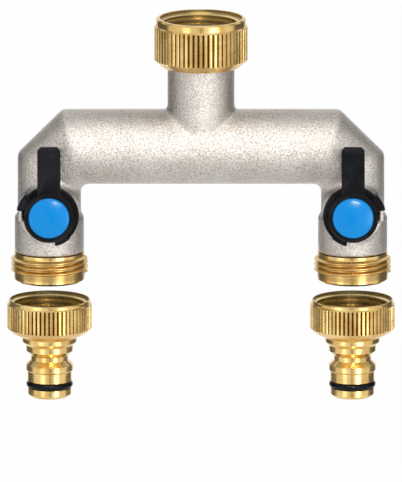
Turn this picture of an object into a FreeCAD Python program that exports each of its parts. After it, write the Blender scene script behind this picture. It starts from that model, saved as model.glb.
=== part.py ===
import FreeCAD, Part
import math
import os

os.makedirs("parts", exist_ok=True)
Vector = FreeCAD.Vector

# Two-way garden hose splitter with a shut-off valve in each leg and a quick-connect
# tap connector under each outlet. All sizes are in millimetres. The origin is the
# centre of the inlet washer's upper face, +Z goes up to the tap, +X to the right and
# the valve handles face -Y.

# clearance of pieces that seat on each other, and the chamfer of small edges
fit_gap = 0.05
edge_chamfer = 0.5

# G 3/4 parallel pipe thread of the inlet nut, the outlets and the connectors
thread_major_r = 13.22
thread_pitch = 1.814
thread_depth = 1.16
thread_half_angle = 27.5
thread_gap = 0.08
thread_entry = 1.0
thread_land = 0.9
thread_truncation = 0.2

# cast manifold
leg_spacing = 103.4
arm_drop = 38.4
arm_margin = 1.4
leg_r = 10.8
collar_r = 11.8
collar_height = 13.4
collar_step = 1.0
leg_drop = 36.5
elbow_shoulder = 4.5
elbow_side_drop = 2.3
elbow_inner_flat = 1.6
neck_fillet = 1.2
neck_bore_r = 7.5
arm_bore_r = 8.0
leg_bore_r = 6.0
arm_bore_stop = 6.0
bore_turn_drop = 8.0

# inlet nut, its retaining ring and its washer
nut_wall = 2.64
nut_height = 16.6
nut_rim_height = 6.3
nut_rim_step = 0.56
nut_mouth_ease = 0.78
nut_foot_chamfer = 2.36
nut_rim_band = 2.9
mouth_recess = 0.9
mouth_lead_in = 1.2
nut_teeth = 58
nut_lip = 2.3
washer_room = 0.18
swivel_gap = 0.08
ring_thickness = 1.5
ring_overhang = 0.55
ring_room = 0.37
ring_groove_depth = 1.0
ring_slot = 6.0
washer_thickness = 2.5
washer_bore_r = 8.6
washer_margin = 0.14

# straight knurls
knurl_depth = 0.55
knurl_share = 0.55

# ball valve
valve_rise = 15.3
ball_r = 8.5
ball_bore_r = 5.5
ball_slot_depth = 1.9
chamber_gap = 0.3
seat_gap = 0.06
seat_reach = 4.6
seat_span = 8.0
stem_r = 3.2
stem_collar_r = 4.2
stem_collar_thickness = 1.0
stem_collar_gap = 0.2
tang_width = 2.6
tang_gap = 0.1
thrust_thickness = 0.6
seal_section_r = 0.43
seal_pitch = 1.7
boss_r = 6.8
boss_height = 2.2
pad_r = 10.2
pad_height = 12.0
drive_width = 4.4
screw_r = 1.25
screw_length = 4.8
screw_head_r = 2.75
screw_head_height = 1.4

# lever handle
handle_gap = 0.25
handle_flange_r = 10.2
handle_flange_thickness = 2.5
handle_ring_r = 8.6
handle_height = 6.2
handle_web = 1.8
lever_width = 7.9
lever_reach = 24.2
lever_thickness = 3.8
lever_set_back = 0.7
lever_bevel = 1.7
lever_corner = 1.1
heel_r = 11.2
heel_height = 4.2
heel_span = 32.0
toe_r = 10.3
toe_span = 32.0
turn_angle = 90.0
stop_half_angle = 12.0
stop_play = 0.5
stop_r = 10.6
stop_gap = 0.3
stop_height = 2.4
cap_r = 7.0
cap_gap = 0.1
cap_rise = 0.2
cap_dome = 0.9
screw_slot = 0.8

# brass outlet
outlet_band = 1.0
outlet_band_r = 11.94
outlet_thread = 7.4
outlet_nose = 1.5
outlet_phase = 1.1
outlet_bore_r = 8.6
outlet_edge = 0.6
spigot_r = 10.0
spigot_seal_r = 0.7
spigot_seal_height = 3.4
flare_start = 5.0
flare_length = 3.0

# quick-connect tap connector
connector_gap = 6.8
connector_wall = 1.18
connector_rim_step = 0.5
connector_rim_edge = 0.3
connector_mouth_ease = 0.2
connector_teeth = 60
connector_rim_band = 1.6
connector_knurl = 8.2
connector_foot_chamfer = 1.4
connector_cone = 2.0
socket_depth = 10.3
flat_washer_thickness = 2.0
flat_washer_bore_r = 6.5
connector_bore_r = 4.75
shoulder_r = 9.3
shoulder_height = 1.4
bulge_r = 8.0
bulge_height = 1.9
waist_r = 6.3
waist_height = 1.5
ridge_r = 8.0
ridge_height = 1.8
nipple_r = 7.5
nipple_land = 3.3
nipple_tip_r = 7.4
nipple_tip = 2.1
nipple_nose = 0.9
nipple_nose_r = 6.5
nipple_seal_section_r = 1.2
nipple_seal_stand = 0.45


def turned(outline):
    # closed outline of (radius, height) corners, turned round the Z axis
    corners = [Vector(radius, 0, height) for radius, height in outline]
    face = Part.Face(Part.makePolygon(corners + corners[:1]))
    return face.revolve(Vector(0, 0, 0), Vector(0, 0, 1), 360)


def disc(radius, low, high):
    return Part.makeCylinder(radius, high - low, Vector(0, 0, low))


def tube(outer, inner, low, high):
    return disc(outer, low, high).cut(disc(inner, low - 1, high + 1))


def block(width, depth, low, high):
    return Part.makeBox(width, depth, high - low, Vector(-width / 2, -depth / 2, low))


def sector(inner, outer, low, high, start, end):
    # piece of a ring between two angles, counted from +X towards +Y
    wedge = Part.makeCylinder(outer, high - low, Vector(0, 0, low), Vector(0, 0, 1), end - start)
    wedge.rotate(Vector(0, 0, 0), Vector(0, 0, 1), start)
    return wedge.cut(disc(inner, low - 1, high + 1))


def seal_ring(centre_r, section_r, height):
    return Part.makeTorus(centre_r, section_r, Vector(0, 0, height))


def knurl_grooves(crest_r, teeth, low, high):
    # straight V grooves side by side round a cylinder
    half_width = math.pi * crest_r / teeth * knurl_share
    corners = [
        Vector(crest_r + knurl_depth, -half_width * 2, low),
        Vector(crest_r - knurl_depth, 0, low),
        Vector(crest_r + knurl_depth, half_width * 2, low),
    ]
    groove = Part.Face(Part.makePolygon(corners + corners[:1])).extrude(Vector(0, 0, high - low))
    grooves = []
    for index in range(teeth):
        copy = groove.copy()
        copy.rotate(Vector(0, 0, 0), Vector(0, 0, 1), 360 * index / teeth)
        grooves.append(copy)
    return Part.makeCompound(grooves)


# thread form: flat crests and roots of equal width, with the gap on both sides
flank_slope = math.tan(math.radians(thread_half_angle))
thread_flat = (thread_pitch - 2 * thread_depth * flank_slope) / 2
male_crest_r = thread_major_r - thread_gap
male_root_r = thread_major_r - thread_depth - thread_gap
female_land_r = thread_major_r - thread_depth + thread_gap
female_crest_r = female_land_r + thread_truncation
female_root_r = thread_major_r + thread_gap
washer_room_r = female_land_r + washer_room
pilot_r = female_land_r - thread_depth


def half_width(radius, gap):
    # half the width of the male ridge at a radius; gap widens or narrows it
    return thread_flat / 2 + (thread_major_r - radius) * flank_slope + gap


def helical_bar(inner, outer, gap, start, turns):
    # bar of V section along a right-hand helix
    corners = [
        Vector(inner, 0, start - half_width(inner, gap)),
        Vector(outer, 0, start - half_width(outer, gap)),
        Vector(outer, 0, start + half_width(outer, gap)),
        Vector(inner, 0, start + half_width(inner, gap)),
    ]
    helix = Part.makeHelix(thread_pitch, thread_pitch * turns, outer)
    helix.translate(Vector(0, 0, start))
    section = Part.makePolygon(corners + corners[:1])
    return Part.Wire(helix.Edges).makePipeShell([section], True, True)


def female_thread(blank, low, high, phase):
    # a threaded plug is cut out of the blank; the thread starts above a plain land
    thread_low = low + thread_land
    first = thread_low + half_width(female_crest_r, thread_gap)
    start = phase + thread_pitch * math.ceil((first - phase) / thread_pitch)
    turns = (high - start) / thread_pitch + 1
    bar = helical_bar(female_crest_r - thread_gap, female_root_r, thread_gap, start, turns)
    land = disc(female_land_r, low - thread_pitch, high)
    core = disc(female_crest_r, thread_low, high + 2 * thread_pitch)
    return blank.cut(core.fuse([land, bar]))


def male_thread(core, low, high, phase):
    # ridge between low and high, its ends run out on entry cones
    turns = (high - low) / thread_pitch - 1.1
    start = low + thread_pitch * 0.45
    start = phase + thread_pitch * math.ceil((start - phase) / thread_pitch)
    ridge = helical_bar(male_root_r - thread_depth / 2, male_crest_r, -thread_gap, start, turns)
    envelope = turned([
        (0, low), (male_root_r, low), (male_crest_r + thread_gap, low + thread_entry),
        (male_crest_r + thread_gap, high), (0, high),
    ])
    return core.fuse(ridge.common(envelope))


# places worked out from the sizes above
neck_r = washer_room_r - ring_room - ring_overhang
arm_r = neck_r + arm_margin
leg_x = leg_spacing / 2
arm_z = -arm_drop
collar_bottom = arm_z - leg_drop
valve_z = collar_bottom + valve_rise
chamber_r = ball_r + chamber_gap
neck_top = -washer_thickness
outlet_end = collar_bottom - outlet_band - outlet_thread - outlet_nose
connector_rim = outlet_end - connector_gap
socket_floor = connector_rim - socket_depth


def at_leg(shape, side):
    return shape.translated(Vector(side * leg_x, 0, 0))


def at_valve(shape, side):
    # local +Z is the stem's outward direction, local +Y is up
    shape = shape.copy()
    shape.rotate(Vector(0, 0, 0), Vector(1, 0, 0), 90)
    return shape.translated(Vector(side * leg_x, 0, valve_z))


def mirrored_for(shape, side):
    # shapes are drawn for the left valve; the right one is its mirror image
    return shape if side < 0 else shape.mirror(Vector(0, 0, 0), Vector(1, 0, 0))


# --- cast manifold ---

def beyond(first, second):
    # prism on the left of the line from first to second, seen along +Y
    reach = 4 * leg_spacing
    along = (second - first).normalize()
    away = Vector(along.z, 0, -along.x)
    corners = [
        first - along * reach, second + along * reach,
        second + along * reach + away * reach, first - along * reach + away * reach,
    ]
    face = Part.Face(Part.makePolygon(corners + corners[:1]))
    face.translate(Vector(0, -reach / 2, 0))
    return face.extrude(Vector(0, reach, 0))


def mitre(outer, inner, half_width):
    centre = (outer + inner) * 0.5
    curve = Part.Ellipse(outer, centre + Vector(0, half_width, 0), centre)
    return Part.Wire(curve.toShape())


def half_arm():
    # the left half: arm, slanting elbow and leg, mitred into each other
    arm_outer = Vector(elbow_shoulder - leg_x, 0, arm_z + arm_r)
    arm_inner = Vector(leg_r - leg_x + elbow_inner_flat, 0, arm_z - arm_r)
    leg_outer = Vector(-leg_x - leg_r, 0, arm_z - elbow_side_drop)
    leg_inner = Vector(leg_r - leg_x, 0, arm_z - arm_r - elbow_inner_flat)
    arm = Part.makeCylinder(arm_r, leg_x, Vector(-leg_x, 0, arm_z), Vector(1, 0, 0))
    arm = arm.cut(beyond(arm_outer, arm_inner))
    leg = Part.makeCylinder(leg_r, leg_drop, Vector(-leg_x, 0, collar_bottom))
    leg = leg.cut(beyond(leg_inner, leg_outer))
    ends = [mitre(arm_outer, arm_inner, arm_r), mitre(leg_outer, leg_inner, leg_r)]
    elbow = Part.makeLoft(ends, True, True)
    return arm.fuse([elbow, leg])


def collar():
    top = collar_bottom + collar_height
    return turned([
        (0, collar_bottom), (collar_r, collar_bottom), (collar_r, top - collar_step),
        (leg_r, top), (0, top),
    ])


def valve_seat_boss():
    pad = disc(pad_r, 0, pad_height)
    boss = disc(boss_r, 0, pad_height + boss_height)
    stop = sector(
        handle_ring_r + stop_gap, stop_r, pad_height / 2, pad_height + stop_height,
        180 - stop_half_angle, 180 + stop_half_angle,
    )
    return pad.fuse([boss, stop])


def valve_cavity():
    # chamber for the ball and bores for the stem, in the valve's own directions
    pocket_top = ball_r + stem_collar_gap + stem_collar_thickness + thrust_thickness + fit_gap
    pocket = disc(stem_collar_r + stem_collar_gap, 0, pocket_top)
    bore = disc(stem_r + fit_gap, 0, pad_height + boss_height + 1)
    return pocket.fuse(bore)


def leg_cavity():
    seat_top = valve_z + seat_span
    turn_z = arm_z - bore_turn_drop
    chamber = disc(chamber_r, valve_z - seat_span, seat_top)
    spigot = disc(spigot_r, collar_bottom - 1, valve_z - seat_span)
    bore = disc(leg_bore_r, seat_top - 1, turn_z)
    return [chamber, spigot, bore, Part.makeSphere(leg_bore_r, Vector(0, 0, turn_z))]


def waterways():
    stop_x = leg_x - arm_bore_stop
    arms = Part.makeCylinder(arm_bore_r, 2 * stop_x, Vector(-stop_x, 0, arm_z), Vector(1, 0, 0))
    cuts = [arms, disc(neck_bore_r, arm_z, 1)]
    for side in (-1, 1):
        corner = Vector(side * stop_x, 0, arm_z)
        slant = Vector(side * arm_bore_stop, 0, -bore_turn_drop)
        cuts.append(Part.makeSphere(arm_bore_r, corner))
        cuts.append(Part.makeCylinder(leg_bore_r, slant.Length, corner, slant))
        cuts.extend(at_leg(shape, side) for shape in leg_cavity())
        cuts.append(at_valve(valve_cavity(), side))
    return cuts


def neck():
    groove_low = nut_lip_top + fit_gap
    groove_high = groove_low + ring_thickness + fit_gap
    groove_r = neck_r - ring_groove_depth
    return turned([
        (0, arm_z), (neck_r, arm_z), (neck_r, groove_low), (groove_r, groove_low),
        (groove_r, groove_high), (neck_r, groove_high), (neck_r, neck_top - edge_chamfer),
        (neck_r - edge_chamfer, neck_top), (0, neck_top),
    ])


def splitter_body():
    half = half_arm()
    body = half.fuse([half.mirror(Vector(0, 0, 0), Vector(1, 0, 0)), neck()]).removeSplitter()
    joints = [edge for edge in body.Edges if on_neck_joint(edge)]
    body = body.makeFillet(neck_fillet, joints)
    extras = []
    for side in (-1, 1):
        extras.append(at_leg(collar(), side))
        extras.append(at_valve(mirrored_for(valve_seat_boss(), side), side))
    body = body.fuse(extras)
    for passage in waterways():
        body = body.cut(passage)
    return body


def on_neck_joint(edge):
    # the curve where the neck meets the arms
    middle = edge.valueAt((edge.FirstParameter + edge.LastParameter) / 2)
    across = math.hypot(middle.x, middle.y)
    height = math.hypot(middle.y, middle.z - arm_z)
    return abs(across - neck_r) < 0.01 and abs(height - arm_r) < 0.01


# --- inlet nut ---

nut_r = thread_major_r + nut_wall
nut_rim_r = nut_r - nut_rim_step
nut_foot_r = nut_r - nut_foot_chamfer
nut_mouth_r = thread_major_r + nut_mouth_ease
nut_mouth_floor = nut_rim_height - mouth_recess
nut_bottom = nut_rim_height - nut_height
nut_lip_top = nut_bottom + nut_lip


def inlet_nut():
    knurl_low = nut_bottom + nut_foot_chamfer
    knurl_high = nut_rim_height - nut_rim_band
    blank = turned([
        (neck_r + swivel_gap, nut_bottom), (nut_foot_r, nut_bottom), (nut_r, knurl_low),
        (nut_r, knurl_high), (nut_rim_r, knurl_high + edge_chamfer),
        (nut_rim_r, nut_rim_height - edge_chamfer), (nut_rim_r - edge_chamfer, nut_rim_height),
        (nut_mouth_r, nut_rim_height), (nut_mouth_r, nut_mouth_floor),
        (pilot_r, nut_mouth_floor - mouth_lead_in), (pilot_r, 0),
        (washer_room_r, 0), (washer_room_r, nut_lip_top), (neck_r + swivel_gap, nut_lip_top),
    ])
    blank = blank.cut(knurl_grooves(nut_r, nut_teeth, knurl_low, knurl_high))
    return female_thread(blank, 0, nut_rim_height, 0)


def nut_retaining_ring():
    low = nut_lip_top + 2 * fit_gap
    inner = neck_r - ring_groove_depth + fit_gap
    ring = tube(neck_r + ring_overhang, inner, low, low + ring_thickness - fit_gap)
    corner = Vector(0, -ring_slot / 2, low - ring_thickness)
    return ring.cut(Part.makeBox(2 * neck_r, ring_slot, 3 * ring_thickness, corner))


def inlet_washer():
    return tube(female_land_r - washer_margin, washer_bore_r, -washer_thickness, 0)


# --- ball valve ---

stem_shoulder = ball_r + stem_collar_gap
stem_thrust = stem_shoulder + stem_collar_thickness
boss_face = pad_height + boss_height
handle_back = pad_height + handle_gap
handle_front = handle_back + handle_height
recess_depth = boss_height
web_back = handle_back + recess_depth
web_front = web_back + handle_web
slot_floor = ball_r - ball_slot_depth
tang_end = slot_floor + tang_gap
drive_start = boss_face + fit_gap
drive_end = web_front - tang_gap
seal_first = stem_thrust + thrust_thickness + seal_pitch / 2
seal_root_r = stem_r - 2 * seal_section_r


def ball():
    # drawn open: its bore lies along the leg
    body = Part.makeSphere(ball_r)
    bore = Part.makeCylinder(ball_bore_r, 4 * ball_r, Vector(0, -2 * ball_r, 0), Vector(0, 1, 0))
    slot = block(4 * ball_r, tang_width + 2 * tang_gap, slot_floor, 2 * ball_r)
    return body.cut([bore, slot])


def seat(direction):
    # ring that bears on the ball, upstream (direction 1) or downstream (-1)
    near = valve_z + direction * seat_reach
    far = valve_z + direction * seat_span
    ring = tube(chamber_r - fit_gap, ball_bore_r, min(near, far), max(near, far))
    return ring.cut(Part.makeSphere(ball_r + seat_gap, Vector(0, 0, valve_z)))


def stem():
    shaft = disc(stem_r, stem_thrust - stem_collar_thickness, drive_start)
    flange = disc(stem_collar_r, stem_shoulder, stem_thrust)
    tang = block(4 * stem_r, tang_width, tang_end, stem_shoulder)
    tang = tang.common(disc(stem_r, tang_end, stem_shoulder))
    drive = block(drive_width, drive_width, drive_start, drive_end)
    tapped = disc(screw_r, web_front - screw_length - tang_gap, drive_end + 1)
    grooves = []
    for index in range(2):
        height = seal_first + index * seal_pitch
        half = seal_section_r + fit_gap
        grooves.append(tube(2 * stem_r, seal_root_r, height - half, height + half))
    return shaft.fuse([flange, tang, drive]).cut([tapped] + grooves)


def stem_orings():
    centre_r = seal_root_r + seal_section_r + fit_gap / 2
    rings = [seal_ring(centre_r, seal_section_r, seal_first + index * seal_pitch) for index in range(2)]
    return Part.makeCompound(rings)


def thrust_washer():
    return tube(stem_collar_r, stem_r + fit_gap, stem_thrust, stem_thrust + thrust_thickness)


def lever():
    back = handle_front - lever_set_back - lever_thickness
    front = handle_front - lever_set_back
    half = lever_width / 2
    tip = lever_reach
    side_view = [
        Vector(-half, 0, back), Vector(-half, tip - lever_corner, back),
        Vector(-half, tip, back + lever_corner), Vector(-half, tip, front - lever_bevel),
        Vector(-half, tip - lever_bevel, front), Vector(-half, 0, front),
    ]
    bar = Part.Face(Part.makePolygon(side_view + side_view[:1])).extrude(Vector(lever_width, 0, 0))
    plan = [
        Vector(-half, 0, back), Vector(-half, tip - lever_corner, back),
        Vector(lever_corner - half, tip, back), Vector(half - lever_corner, tip, back),
        Vector(half, tip - lever_corner, back), Vector(half, 0, back),
    ]
    outline = Part.Face(Part.makePolygon(plan + plan[:1])).extrude(Vector(0, 0, lever_thickness))
    return bar.common(outline)


def handle():
    # the cut-out between heel and toe holds the body's stop and sets the turn
    heel_end = 180 - stop_half_angle - stop_play
    toe_start = 180 + stop_half_angle + stop_play + turn_angle
    flange_top = handle_back + handle_flange_thickness
    heel_top = handle_back + heel_height
    flange = sector(boss_r, handle_flange_r, handle_back, flange_top, toe_start - 360, heel_end)
    heel = sector(boss_r, heel_r, handle_back, heel_top, heel_end - heel_span, heel_end)
    toe = sector(boss_r, toe_r, handle_back, heel_top, toe_start, toe_start + toe_span)
    ring = turned([
        (0, handle_back), (handle_ring_r, handle_back), (handle_ring_r, handle_front - edge_chamfer),
        (handle_ring_r - edge_chamfer, handle_front), (0, handle_front),
    ])
    solid = ring.fuse([flange, heel, toe, lever()])
    recess = disc(boss_r + handle_gap, handle_back - 1, web_back)
    cap_seat = disc(cap_r + cap_gap, web_front, handle_front + 1)
    socket_width = drive_width + 2 * fit_gap
    socket = block(socket_width, socket_width, web_back - 1, web_front + 1)
    return solid.cut([recess, cap_seat, socket])


def handle_screw():
    shank = disc(screw_r - fit_gap, web_front - screw_length, web_front)
    head = disc(screw_head_r, web_front, web_front + screw_head_height)
    slot_bottom = web_front + screw_head_height / 2
    bit = block(2 * screw_head_r, screw_slot, slot_bottom, web_front + 2 * screw_head_height)
    cross = bit.copy()
    cross.rotate(Vector(0, 0, 0), Vector(0, 0, 1), 90)
    arm = block(screw_head_r, screw_head_r, web_front, web_front + 2 * screw_head_height)
    return shank.fuse(head).cut(bit.fuse(cross).common(arm))


def handle_cap():
    # slightly domed push-in cap, hollow over the screw's head
    base = web_front + fit_gap
    edge = handle_front + cap_rise
    dome_r = (cap_r ** 2 + cap_dome ** 2) / (2 * cap_dome)
    crown = Part.makeSphere(dome_r, Vector(0, 0, edge + cap_dome - dome_r))
    cap = disc(cap_r, base, edge + cap_dome).common(crown)
    pocket_top = web_front + screw_head_height + fit_gap
    pocket = disc(screw_head_r + cap_gap, base - 1, pocket_top + (edge - pocket_top) / 3)
    return cap.cut(pocket)


# --- brass outlet ---

spigot_top = valve_z - seat_span
spigot_seal_z = collar_bottom + spigot_seal_height
outlet_thread_low = outlet_end + outlet_nose
outlet_thread_high = outlet_thread_low + outlet_thread


def outlet_adapter():
    spigot = spigot_r - fit_gap
    groove_r = spigot_r - 2 * spigot_seal_r - 2 * fit_gap
    groove_half = spigot_seal_r + fit_gap
    flare_top = collar_bottom + flare_start - flare_length
    core = turned([
        (leg_bore_r, spigot_top), (spigot, spigot_top), (spigot, spigot_seal_z + groove_half),
        (groove_r, spigot_seal_z + groove_half), (groove_r, spigot_seal_z - groove_half),
        (spigot, spigot_seal_z - groove_half), (spigot, collar_bottom), (outlet_band_r, collar_bottom),
        (outlet_band_r, outlet_thread_high), (male_root_r, outlet_thread_high - thread_gap),
        (male_root_r, outlet_thread_low), (male_root_r, outlet_end + outlet_edge),
        (male_root_r - outlet_edge, outlet_end), (outlet_bore_r + outlet_edge, outlet_end),
        (outlet_bore_r, outlet_end + outlet_edge), (outlet_bore_r, flare_top - flare_length),
        (leg_bore_r, flare_top),
    ])
    return male_thread(core, outlet_thread_low, outlet_thread_high, outlet_end + outlet_phase)


def adapter_seal():
    return seal_ring(spigot_r - spigot_seal_r - fit_gap, spigot_seal_r, spigot_seal_z)


# --- quick-connect tap connector ---

connector_r = thread_major_r + connector_wall
connector_rim_r = connector_r - connector_rim_step
connector_foot_r = connector_r - connector_foot_chamfer
connector_mouth_r = thread_major_r + connector_mouth_ease
connector_mouth_floor = connector_rim - mouth_recess
foot_z = connector_rim - connector_rim_band - connector_knurl
shoulder_top = foot_z - connector_foot_chamfer - connector_cone
shoulder_low = shoulder_top - shoulder_height
bulge_top = shoulder_low - (shoulder_r - bulge_r)
bulge_low = bulge_top - bulge_height
waist_top = bulge_low - (bulge_r - waist_r)
waist_low = waist_top - waist_height
ridge_top = waist_low - (ridge_r - waist_r)
ridge_low = ridge_top - ridge_height
land_top = ridge_low - (ridge_r - nipple_r)
land_low = land_top - nipple_land
seal_groove = 2 * nipple_seal_section_r + 2 * fit_gap
seal_z = land_low - seal_groove / 2
tip_top = land_low - seal_groove
tip_low = tip_top - nipple_tip
nose_low = tip_low - nipple_nose
nipple_groove_r = nipple_r + nipple_seal_stand - 2 * nipple_seal_section_r - fit_gap


def connector():
    thread_low = socket_floor + flat_washer_thickness
    knurl_low = foot_z
    knurl_high = connector_rim - connector_rim_band
    blank = turned([
        (connector_mouth_r, connector_rim), (connector_rim_r - connector_rim_edge, connector_rim),
        (connector_rim_r, connector_rim - connector_rim_edge),
        (connector_rim_r, knurl_high + connector_rim_step),
        (connector_r, knurl_high), (connector_r, knurl_low),
        (connector_foot_r, knurl_low - connector_foot_chamfer), (shoulder_r, shoulder_top),
        (shoulder_r, shoulder_low), (bulge_r, bulge_top), (bulge_r, bulge_low), (waist_r, waist_top),
        (waist_r, waist_low), (ridge_r, ridge_top), (ridge_r, ridge_low), (nipple_r, land_top),
        (nipple_r, land_low), (nipple_groove_r, land_low), (nipple_groove_r, tip_top),
        (nipple_tip_r, tip_top), (nipple_tip_r, tip_low), (nipple_nose_r, nose_low),
        (connector_bore_r, nose_low), (connector_bore_r, socket_floor), (washer_room_r, socket_floor),
        (washer_room_r, thread_low), (pilot_r, thread_low),
        (pilot_r, connector_mouth_floor - mouth_lead_in), (connector_mouth_r, connector_mouth_floor),
    ])
    blank = blank.cut(knurl_grooves(connector_r, connector_teeth, knurl_low, knurl_high))
    return female_thread(blank, thread_low, connector_rim, outlet_end + outlet_phase)


def connector_washer():
    top = socket_floor + flat_washer_thickness
    return tube(female_land_r - washer_margin, flat_washer_bore_r, socket_floor, top)


def connector_oring():
    centre_r = nipple_groove_r + fit_gap + nipple_seal_section_r
    return seal_ring(centre_r, nipple_seal_section_r, seal_z)


def save(shape, name):
    shape.exportStep("parts/" + name + ".step")


save(splitter_body(), "splitter_body")
save(inlet_nut(), "inlet_nut")
save(nut_retaining_ring(), "nut_retaining_ring")
save(inlet_washer(), "inlet_washer")

valve_pieces = {
    "ball": ball(),
    "stem": stem(),
    "stem_orings": stem_orings(),
    "thrust_washer": thrust_washer(),
    "handle": handle(),
    "handle_screw": handle_screw(),
    "handle_cap": handle_cap(),
}
leg_pieces = {
    "upstream_seat": seat(1),
    "downstream_seat": seat(-1),
    "outlet_adapter": outlet_adapter(),
    "adapter_seal": adapter_seal(),
    "connector": connector(),
    "connector_washer": connector_washer(),
    "connector_oring": connector_oring(),
}
for place, side in (("left", -1), ("right", 1)):
    for name, shape in valve_pieces.items():
        save(at_valve(mirrored_for(shape, side), side), place + "_" + name)
    for name, shape in leg_pieces.items():
        save(at_leg(shape, side), place + "_" + name)
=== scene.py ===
import math

import bpy
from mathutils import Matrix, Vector


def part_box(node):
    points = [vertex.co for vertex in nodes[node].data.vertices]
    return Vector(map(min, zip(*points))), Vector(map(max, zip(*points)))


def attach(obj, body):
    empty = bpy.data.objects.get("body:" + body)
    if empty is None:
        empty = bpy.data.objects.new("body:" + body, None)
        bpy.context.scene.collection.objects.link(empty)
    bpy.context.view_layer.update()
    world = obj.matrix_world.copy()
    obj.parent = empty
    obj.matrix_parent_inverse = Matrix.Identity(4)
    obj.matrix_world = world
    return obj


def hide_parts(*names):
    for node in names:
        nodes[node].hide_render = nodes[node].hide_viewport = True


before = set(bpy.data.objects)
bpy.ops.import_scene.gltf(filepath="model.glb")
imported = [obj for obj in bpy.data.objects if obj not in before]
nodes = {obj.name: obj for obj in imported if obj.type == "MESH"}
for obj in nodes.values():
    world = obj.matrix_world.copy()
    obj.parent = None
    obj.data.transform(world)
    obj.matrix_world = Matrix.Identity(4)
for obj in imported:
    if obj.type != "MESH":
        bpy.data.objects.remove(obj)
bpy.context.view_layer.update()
print("frame loaded:", len(nodes), "CAD nodes")


class Wire:
    # a node's output that can be used in sums
    def __init__(self, graph, socket):
        self.graph = graph
        self.socket = socket

    def maths(self, operation, first, second):
        return self.graph.node("ShaderNodeMath", {"operation": operation}, {0: first, 1: second})

    def __add__(self, other):
        return self.maths("ADD", self, other)

    def __radd__(self, other):
        return self.maths("ADD", other, self)

    def __sub__(self, other):
        return self.maths("SUBTRACT", self, other)

    def __rsub__(self, other):
        return self.maths("SUBTRACT", other, self)

    def __mul__(self, other):
        return self.maths("MULTIPLY", self, other)

    def __rmul__(self, other):
        return self.maths("MULTIPLY", other, self)

    def orMore(self, other):
        return self.maths("MAXIMUM", self, other)


class Graph:
    # a tree of nodes and the few ways its nodes are made
    def __init__(self, tree):
        self.tree = tree
        self.tree.nodes.clear()

    def node(self, kind, settings=None, sockets=None, output=0):
        # the output wanted is given by its number or its name
        made = self.tree.nodes.new(kind)
        for key, value in (settings or {}).items():
            setattr(made, key, value)
        for key, value in (sockets or {}).items():
            if isinstance(value, Wire):
                self.tree.links.new(value.socket, made.inputs[key])
            else:
                made.inputs[key].default_value = value
        return Wire(self, made.outputs[output]) if made.outputs else None

    def seenDirectly(self):
        # 1 for rays from the camera, a mirror or glass, 0 for rays that scattered
        camera, mirror, glass = [
            self.node("ShaderNodeLightPath", output=ray)
            for ray in ("Is Camera Ray", "Is Glossy Ray", "Is Transmission Ray")]
        return camera.orMore(mirror).orMore(glass)


class Finish(Graph):
    # one material
    def __init__(self, name):
        self.material = bpy.data.materials.new(name)
        self.material.use_nodes = True
        super().__init__(self.material.node_tree)

    def millimetres(self):
        here = self.node("ShaderNodeTexCoord", output="Object")
        return self.node("ShaderNodeMapping", None, {"Vector": here, "Scale": (1000, 1000, 1000)})

    def edges(self):
        return self.node("ShaderNodeNewGeometry", output="Pointiness")

    def grain(self, place, perMillimetre, detail=2.0, roughness=0.6):
        return self.node("ShaderNodeTexNoise", None, {
            "Vector": place, "Scale": perMillimetre, "Detail": detail, "Roughness": roughness})

    def clouds(self, place, perMillimetre):
        return self.grain(place, perMillimetre, 3.0, 0.5)

    def ramp(self, value, low, high, atLow=0.0, atHigh=1.0):
        return self.node("ShaderNodeMapRange", {"interpolation_type": "SMOOTHSTEP"}, {
            "Value": value, "From Min": low, "From Max": high, "To Min": atLow, "To Max": atHigh})

    def tint(self, amount, first, second):
        return self.node("ShaderNodeMix", {"data_type": "RGBA"}, {0: amount, 6: first, 7: second}, 2)

    def relief(self, height, depth):
        return self.node("ShaderNodeBump", None, {"Height": height, "Distance": depth, "Strength": 1.0})

    def shown(self, shader):
        self.node("ShaderNodeOutputMaterial", None, {"Surface": shader})
        return self.material

    def done(self, sockets):
        return self.shown(self.node("ShaderNodeBsdfPrincipled", None, sockets))


def paint(red, green, blue):
    # a colour as seen on a screen, 0 to 255, made linear
    def linear(value):
        value = value / 255
        return value / 12.92 if value <= 0.04045 else ((value + 0.055) / 1.055) ** 2.4
    return (linear(red), linear(green), linear(blue), 1.0)


def radiusAbout(finish, place, centre):
    # distance from the turning axes at |x| = centre, in millimetres
    x = finish.node("ShaderNodeSeparateXYZ", None, {0: place}, "X")
    y = finish.node("ShaderNodeSeparateXYZ", None, {0: place}, "Y")
    across = finish.node("ShaderNodeMath", {"operation": "ABSOLUTE"}, {0: x}) - centre
    flat = finish.node("ShaderNodeCombineXYZ", None, {0: across, 1: y, 2: 0.0})
    return finish.node("ShaderNodeVectorMath", {"operation": "LENGTH"}, {0: flat}, "Value")


grainSpan = (0.3, 0.7)    # where most of a grain's values lie
cloudSpan = (0.35, 0.65)  # the same for clouds

# in each look, rough is the lowest and highest roughness, depth is that of the relief in metres,
# grains and clouds are features per millimetre, and ragged is how far a grain moves the edges of wear,
# of painted highlight and of painted shade
nickelLook = {
    "light": paint(211, 206, 200),
    "dark": paint(161, 152, 143),
    # the colour of worn edges, also used for a painted highlight in the creases
    "worn": paint(240, 236, 230),
    "rough": (0.30, 0.40),
    "clouds": 0.09,
    "blast": 2.0,
    "fine": 3.2,
    "pits": (0.40, 0.58),          # grain values from a pit's floor to the surface
    "outerEdges": (0.53, 0.60),    # pointiness from no wear to full wear
    "outerRagged": 0.03,
    # painted highlight in the creases and inner corners, drawn in the worn colour: pointiness from none
    # to full
    "innerCorners": (0.475, 0.43),
    "innerRagged": 0.02,
    "wearTint": 0.6,
    "wearPolish": 0.10,
    "depth": 0.00034,
}


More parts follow.
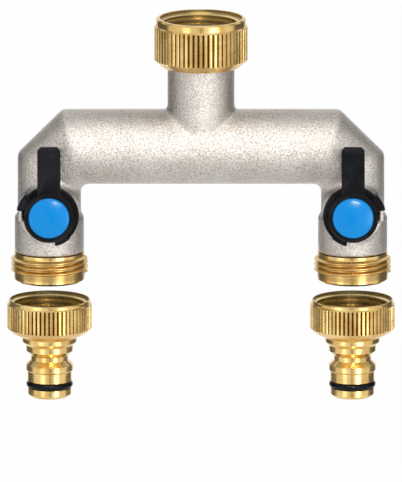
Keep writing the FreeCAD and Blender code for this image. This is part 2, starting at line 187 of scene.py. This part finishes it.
def makeNickel():
    look = nickelLook
    finish = Finish("sandblastedNickel")
    place = finish.millimetres()
    clouds = finish.clouds(place, look["clouds"])
    blast = finish.grain(place, look["blast"])
    fine = finish.grain(place, look["fine"])
    pits = finish.ramp(blast * 0.7 + fine * 0.3, *look["pits"])
    edge = finish.edges()
    lightenedEdges = finish.ramp(edge + (blast - 0.5) * look["outerRagged"], *look["outerEdges"])
    # the creases get a painted highlight on top of the edge wear
    lightenedEdges = lightenedEdges + finish.ramp(edge + (blast - 0.5) * look["innerRagged"], *look["innerCorners"])
    tone = pits * 0.85 + finish.ramp(clouds, *cloudSpan) * 0.15
    colour = finish.tint(tone, look["dark"], look["light"])
    # edge wear and the painted crease highlight both lighten towards the worn colour
    colour = finish.tint(lightenedEdges * look["wearTint"], colour, look["worn"])
    rough = finish.ramp(fine, *grainSpan, *look["rough"]) - lightenedEdges * look["wearPolish"]
    height = blast * 0.55 + fine * 0.45
    return finish.done({
        "Base Color": colour, "Metallic": 1.0, "Roughness": rough,
        "Normal": finish.relief(height, look["depth"])})


connectorLow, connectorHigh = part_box("right_connector")
legCentre = (connectorLow[0] + connectorHigh[0]) * 500  # the legs' axes, mm from the middle
connectorRim = connectorHigh[2] * 1000
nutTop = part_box("inlet_nut")[1][2] * 1000
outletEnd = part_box("right_outlet_adapter")[0][2] * 1000

brassLook = {
    "light": paint(240, 210, 142),
    "warm": paint(206, 164, 94),
    # a dark brown for painted shade and tarnish in hollows and roots
    "deep": paint(66, 40, 17),
    # painted light: a pale cream for the bores, standing in for light that reaches into them
    "inside": paint(255, 236, 178),
    "rough": (0.16, 0.26),
    "bandRough": 0.08,
    "insideRough": 0.08,
    "clouds": 0.22,
    "marks": 5.0,
    "specks": 1.7,
    "tone": (0.37, 0.63),      # mixed grain values from warm to light
    "sheen": (0.32, 0.68),     # the same from smooth to rough
    "bandFade": 0.1,           # how softly a band starts and ends, mm either side
    "bandFoot": (0.35, 0.2),   # how far below its hollows a band fades out, mm
    "ragged": 0.3,             # mm
    "boreFade": 0.05,
    "boreFoot": 0.2,
    "rootShade": (0.6, 0.1),   # how far in from a bore's roots the painted shade and tarnish start and are full, mm
    # how strongly the painted bore light, and the painted shade with tarnish in the roots, are laid on
    "insideTint": 0.8,
    "rootTint": 0.45,
    "depth": 0.000008,
}

# the band of a knurl or thread: radii of its hollows and crests, its lowest and highest z in mm,
# how much painted shade and tarnish darken its hollows and how much painted shade darkens all of it; a
# bore has its own radii and lowest z
nutBand = {
    "hollow": 15.3, "crest": 15.84, "low": nutTop - 14.2, "high": nutTop - 2.9,
    "hollowShade": 0.6, "bandShade": 0.30,
    "bore": 14.1, "root": 13.3, "boreLow": nutTop - 8.5,
}
outletBand = {
    "hollow": 11.95, "crest": 13.0, "low": outletEnd + 1.5, "high": outletEnd + 8.9,
    "hollowShade": 0.35, "bandShade": 0.0,
}
connectorBand = {
    "hollow": 13.85, "crest": 14.38, "low": connectorRim - 9.8, "high": connectorRim - 1.6,
    "hollowShade": 0.80, "bandShade": 0.18,
    "bore": 13.5, "root": 13.3, "boreLow": connectorRim - 10.2,
}
stemBand = {
    "hollow": 1.0, "crest": 1.5, "low": -200.0, "high": 200.0,
    "hollowShade": 0.1, "bandShade": 0.0,
}


def makeBrass(name, centre, cut):
    look = brassLook
    finish = Finish(name)
    place = finish.millimetres()
    radius = radiusAbout(finish, place, centre)
    z = finish.node("ShaderNodeSeparateXYZ", None, {0: place}, "Z")
    along = finish.node("ShaderNodeCombineXYZ", None, {0: 0.0, 1: 0.0, 2: z + radius})
    marks = finish.grain(along, look["marks"])
    clouds = finish.clouds(place, look["clouds"])
    specks = finish.grain(place, look["specks"])

    fade = look["bandFade"]
    footStart, footEnd = look["bandFoot"]
    band = finish.ramp(z, cut["low"] - fade, cut["low"] + fade)
    band = band * finish.ramp(z, cut["high"] + fade, cut["high"] - fade)
    band = band * finish.ramp(radius, cut["hollow"] - footStart, cut["hollow"] - footEnd)
    hollow = band * finish.ramp(radius + (specks - 0.5) * look["ragged"], cut["crest"], cut["hollow"])
    tone = finish.ramp(clouds * 0.4 + marks * 0.6, *look["tone"])
    colour = finish.tint(tone, look["warm"], look["light"])
    # painted shade and tarnish darken the hollows; painted shade darkens the whole band
    shade = hollow * cut["hollowShade"] + band * cut["bandShade"]
    colour = finish.tint(shade, colour, look["deep"])
    rough = finish.ramp(marks * 0.6 + specks * 0.4, *look["sheen"], *look["rough"])
    rough = rough + band * look["bandRough"]
    if "bore" in cut:
        shadeStart, shadeEnd = look["rootShade"]
        within = finish.ramp(radius, cut["bore"] + look["boreFade"], cut["bore"] - look["boreFade"])
        within = within * finish.ramp(z, cut["boreLow"], cut["boreLow"] + look["boreFoot"])
        root = finish.ramp(radius, cut["root"] - shadeStart, cut["root"] - shadeEnd)
        # painted light: the bores are drawn paler
        colour = finish.tint(within * look["insideTint"], colour, look["inside"])
        # painted shade and tarnish darken the bores' thread roots
        colour = finish.tint(within * root * look["rootTint"], colour, look["deep"])
        rough = rough + within * look["insideRough"]
    height = marks * 0.85 + specks * 0.15
    return finish.done({
        "Base Color": colour, "Metallic": 1.0, "Roughness": rough,
        "Normal": finish.relief(height, look["depth"])})


steelLook = {
    "light": paint(205, 206, 208), "dark": paint(182, 184, 187), "rough": (0.25, 0.4),
    "clouds": 0.5, "grain": 4.0, "depth": 0.000008,
}
chromeLook = {
    "light": paint(228, 230, 232), "dark": paint(215, 217, 220), "rough": (0.06, 0.12),
    "clouds": 0.5, "grain": 4.0, "depth": 0.000008,
}


def makeSteel(name, look):
    finish = Finish(name)
    place = finish.millimetres()
    clouds = finish.clouds(place, look["clouds"])
    fine = finish.grain(place, look["grain"])
    colour = finish.tint(finish.ramp(clouds, *cloudSpan), look["dark"], look["light"])
    rough = finish.ramp(fine, *grainSpan, *look["rough"])
    return finish.done({
        "Base Color": colour, "Metallic": 1.0, "Roughness": rough,
        "Normal": finish.relief(fine, look["depth"])})


plasticWear = {
    "clouds": 0.16, "cloudTint": 0.12,
    "edges": (0.53, 0.64), "ragged": 0.05,
}
rubberLook = {
    "colour": paint(5, 5, 6), "scuffed": paint(40, 40, 40), "rough": (0.16, 0.28),
    "grain": 2.2, "depth": 0.00001, "scuffs": 0.2, "shine": 0.14,
}
seatLook = {
    "colour": paint(236, 236, 232), "scuffed": paint(246, 246, 243), "rough": (0.35, 0.5),
    "grain": 1.5, "depth": 0.00001, "scuffs": 0.3, "shine": 0.5,
}
blackLook = {
    "colour": paint(5, 5, 7), "scuffed": paint(44, 44, 50), "rough": (0.22, 0.34),
    "grain": 2.4, "depth": 0.00001, "scuffs": 0.3, "shine": 0.14,
}
blueLook = {
    "colour": paint(0, 126, 200), "scuffed": paint(36, 158, 226), "rough": (0.14, 0.22),
    "grain": 1.2, "depth": 0.000003, "scuffs": 0.2, "shine": 0.22,
}


def makePlastic(name, look):
    finish = Finish(name)
    place = finish.millimetres()
    clouds = finish.clouds(place, plasticWear["clouds"])
    grain = finish.grain(place, look["grain"], 3.0)
    lightenedEdges = finish.ramp(finish.edges() + (grain - 0.5) * plasticWear["ragged"], *plasticWear["edges"])
    tone = lightenedEdges * look["scuffs"] + finish.ramp(clouds, *grainSpan) * plasticWear["cloudTint"]
    colour = finish.tint(tone, look["colour"], look["scuffed"])
    rough = finish.ramp(grain * 0.7 + clouds * 0.3, *grainSpan, *look["rough"])
    return finish.done({
        "Base Color": colour, "Metallic": 0.0, "Roughness": rough,
        "Specular IOR Level": look["shine"], "Normal": finish.relief(grain, look["depth"])})


finishes = {
    "nickel": makeNickel(),
    "nutBrass": makeBrass("knurledNutBrass", 0.0, nutBand),
    "outletBrass": makeBrass("threadedOutletBrass", legCentre, outletBand),
    "connectorBrass": makeBrass("turnedConnectorBrass", legCentre, connectorBand),
    "stemBrass": makeBrass("stemBrass", legCentre, stemBand),
    "steel": makeSteel("stainlessSteel", steelLook),
    "chrome": makeSteel("polishedChrome", chromeLook),
    "rubber": makePlastic("sealRubber", rubberLook),
    "ptfe": makePlastic("whiteSeatPlastic", seatLook),
    "black": makePlastic("mouldedBlackPlastic", blackLook),
    "blue": makePlastic("mouldedBluePlastic", blueLook),
}
print("finishes made:", len(finishes))


def dress(piece, finish):
    piece.data.materials.clear()
    piece.data.materials.append(finishes[finish])


def pickOnly(piece):
    bpy.ops.object.select_all(action="DESELECT")
    piece.select_set(True)
    bpy.context.view_layer.objects.active = piece


weldDistance = 0.000004  # m


def copyOf(nodeName, name):
    # the node's shape as a new piece, with its doubled points welded
    piece = bpy.data.objects.new(name, nodes[nodeName].data.copy())
    bpy.context.scene.collection.objects.link(piece)
    pickOnly(piece)
    bpy.ops.mesh.customdata_custom_splitnormals_clear()
    bpy.ops.object.mode_set(mode="EDIT")
    bpy.ops.mesh.select_all(action="SELECT")
    bpy.ops.mesh.remove_doubles(threshold=weldDistance)
    bpy.ops.object.mode_set(mode="OBJECT")
    return piece


def applied(piece, kind, name, **values):
    pickOnly(piece)
    modifier = piece.modifiers.new(name, kind)
    for key, value in values.items():
        setattr(modifier, key, value)
    bpy.ops.object.modifier_apply(modifier=name)


def fitted(piece, nodeName, body, finish):
    # the piece stands in for its node and moves with its body
    dress(piece, finish)
    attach(piece, body)
    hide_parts(nodeName)


bodySkin = {
    "gridStep": 0.00062,   # spacing of the new skin's points, m
    "softening": 3,        # passes over the whole casting
    "elbowSoftening": 16,  # more passes over the elbows' corners
    "elbowStart": 0.034,   # the elbows lie farther than this from the middle, m
    "elbowFoot": -0.0565,  # and above this height, m
    "elbowBlend": 0.006,   # the width over which the extra softening fades in, m
}


def faded(distance, width):
    return min(max(distance / width, 0.0), 1.0)


def makeBody():
    skin = bodySkin
    piece = copyOf("splitter_body", "splitterBody")
    applied(piece, "REMESH", "skin", mode="VOXEL", voxel_size=skin["gridStep"], use_smooth_shade=True)
    applied(piece, "SMOOTH", "soften", factor=0.5, iterations=skin["softening"])
    corners = piece.vertex_groups.new(name="elbows")
    for point in piece.data.vertices:
        x, y, z = point.co
        reach = faded(abs(x) - skin["elbowStart"], skin["elbowBlend"])
        reach = reach * faded(z - skin["elbowFoot"], skin["elbowBlend"])
        if reach > 0:
            corners.add([point.index], reach, "REPLACE")
    applied(piece, "SMOOTH", "elbowSoften", factor=0.5, iterations=skin["elbowSoftening"],
            vertex_group="elbows")
    bpy.ops.object.shade_smooth()
    fitted(piece, "splitter_body", "manifold", "nickel")


edgeRounding = {
    "flatMerge": 0.6,      # faces that meet within this angle are one flat, degrees
    "roundAbove": 30,      # edges sharper than this are rounded, degrees
    "smoothBelow": 32,     # edges blunter than this are shaded smooth, degrees
    "flatArea": 0.000012,  # faces larger than this, m2, or with more corners, are plain flats
    "flatCorners": 12,
}

# the rounding's width in metres and its steps
roundedPieces = {
    "handle": {
        "name": "Handle", "finish": "black", "slot": "black_plastic", "width": 0.00035, "steps": 2},
    "handle_cap": {
        "name": "Cap", "finish": "blue", "slot": "blue_plastic", "width": 0.0006, "steps": 4},
}


def roundEdges(side, nodeEnd, part):
    edge = edgeRounding
    nodeName = side + "_" + nodeEnd
    piece = copyOf(nodeName, side + part["name"])
    applied(piece, "DECIMATE", "flatten", decimate_type="DISSOLVE",
            angle_limit=math.radians(edge["flatMerge"]))
    applied(piece, "BEVEL", "roundEdges", width=part["width"], segments=part["steps"],
            limit_method="ANGLE", angle_limit=math.radians(edge["roundAbove"]), use_clamp_overlap=True)
    bpy.ops.object.shade_smooth_by_angle(angle=math.radians(edge["smoothBelow"]))
    for face in piece.data.polygons:
        if face.area > edge["flatArea"] or len(face.vertices) > edge["flatCorners"]:
            face.use_smooth = False
    fitted(piece, nodeName, side + "_valve", part["finish"])


makeBody()
print("casting made")
for nodeEnd, part in roundedPieces.items():
    for side in ("left", "right"):
        roundEdges(side, nodeEnd, part)
    print(part["name"].lower() + "s made")

cadDress = {
    "splitter_body": "nickel",
    "inlet_nut": "nutBrass",
    "nut_retaining_ring": "steel",
    "inlet_washer": "rubber",
    "upstream_seat": "ptfe",
    "downstream_seat": "ptfe",
    "ball": "chrome",
    "stem": "stemBrass",
    "stem_orings": "rubber",
    "thrust_washer": "ptfe",
    "handle": "black",
    "handle_screw": "steel",
    "handle_cap": "blue",
    "outlet_adapter": "outletBrass",
    "adapter_seal": "rubber",
    "connector": "connectorBrass",
    "connector_washer": "rubber",
    "connector_oring": "rubber",
}
for nodeName, node in nodes.items():
    plainName = nodeName.replace("left_", "").replace("right_", "")
    dress(node, cadDress[plainName])
print("CAD nodes dressed")


white = (1, 1, 1, 1)

studio = {
    "floorHeight": -0.40,
    "floorSize": 24,
    "floorPaint": (0.86, 0.86, 0.86, 1),
    "floorLevel": 0.985,     # how white the floor looks; the rest of it is plain matt
    "roomLight": 0.55,       # what the room gives to surfaces that scatter light
    "aim": (0, 0, -0.0714),  # what the camera, cards and lamps point at, m
    "camera": {"tilt": 12.25, "distance": 6.0, "lens": 1314.0, "sensor": 36, "reach": 60},
    # azimuth (0 in front, 90 on the right) and elevation in degrees, distance, width and
    # height in metres, and a card's level or a lamp's watts
    "cards": {
        "rightFlag": (121, 0, 0.95, 1.02, 1.2, 0.14),
        "leftFlag": (-121, 0, 0.95, 1.06, 1.2, 0.14),
        "frontGap": (1.0, -9, 0.95, 0.19, 0.40, 0.30),
        "backFlag": (180, 62, 1.10, 2.4, 0.42, 0.42),
    },
    "lamps": {
        "leftSoftbox": (-38, -12, 0.90, 0.30, 0.42, 0.5),
        "rightSoftbox": (34, -12, 0.90, 0.30, 0.42, 1.6),
        "topSoftbox": (0, 52, 1.35, 1.1, 0.45, 7.0),
        "capGlint": (8, 14, 0.90, 0.16, 0.10, 2.2),
    },
}


def around(azimuth, elevation, distance):
    turn = math.radians(azimuth)
    rise = math.radians(elevation)
    away = Vector((math.sin(turn) * math.cos(rise), -math.cos(turn) * math.cos(rise), math.sin(rise)))
    return Vector(studio["aim"]) + away * distance


def faceAim(thing):
    thing.rotation_mode = "QUATERNION"
    thing.rotation_quaternion = (Vector(studio["aim"]) - thing.location).to_track_quat("-Z", "Y")


def setWorld():
    world = bpy.data.worlds.new("studioRoom")
    bpy.context.scene.world = world
    world.use_nodes = True
    world.cycles.sampling_method = "NONE"  # no rays are aimed at it; those that miss all else meet it
    graph = Graph(world.node_tree)
    strength = graph.node("ShaderNodeMapRange", None, {
        "Value": graph.seenDirectly(), "To Min": studio["roomLight"], "To Max": 1.0})
    sky = graph.node("ShaderNodeBackground", None, {"Color": white, "Strength": strength})
    graph.node("ShaderNodeOutputWorld", None, {"Surface": sky})


def setFloor():
    bpy.ops.mesh.primitive_plane_add(size=studio["floorSize"], location=(0, 0, studio["floorHeight"]))
    floor = bpy.context.object
    floor.name = "studioFloor"
    finish = Finish("whiteFloor")
    lit = finish.seenDirectly() * studio["floorLevel"]
    matt = finish.node("ShaderNodeBsdfDiffuse", None, {"Color": studio["floorPaint"]})
    glow = finish.node("ShaderNodeEmission", None, {"Color": white, "Strength": 1.0})
    finish.shown(finish.node("ShaderNodeMixShader", None, {0: lit, 1: matt, 2: glow}))
    finish.material.cycles.emission_sampling = "NONE"
    floor.data.materials.append(finish.material)


def setCard(name, azimuth, elevation, distance, width, tall, level):
    bpy.ops.mesh.primitive_plane_add(size=1, location=around(azimuth, elevation, distance))
    card = bpy.context.object
    card.name = name
    card.scale = (width, tall, 1)
    faceAim(card)
    finish = Finish(name)
    finish.shown(finish.node("ShaderNodeEmission", None, {"Color": white, "Strength": level}))
    finish.material.cycles.emission_sampling = "NONE"
    card.data.materials.append(finish.material)
    card.visible_camera = False


def setLamp(name, azimuth, elevation, distance, width, tall, watts):
    bpy.ops.object.light_add(type="AREA", location=around(azimuth, elevation, distance))
    lamp = bpy.context.object
    lamp.name = name
    lamp.data.shape = "RECTANGLE"
    lamp.data.size = width
    lamp.data.size_y = tall
    lamp.data.energy = watts
    faceAim(lamp)
    lamp.visible_camera = False


def setCamera():
    look = studio["camera"]
    bpy.ops.object.camera_add(location=around(0, look["tilt"], look["distance"]))
    camera = bpy.context.object
    camera.name = "studioCamera"
    camera.data.lens = look["lens"]
    camera.data.sensor_width = look["sensor"]
    camera.data.clip_end = look["reach"]
    faceAim(camera)
    bpy.context.scene.camera = camera


setWorld()
setFloor()
for cardName, values in studio["cards"].items():
    setCard(cardName, *values)
for lampName, values in studio["lamps"].items():
    setLamp(lampName, *values)
setCamera()
bpy.context.scene.view_settings.view_transform = "Standard"
print("studio set")
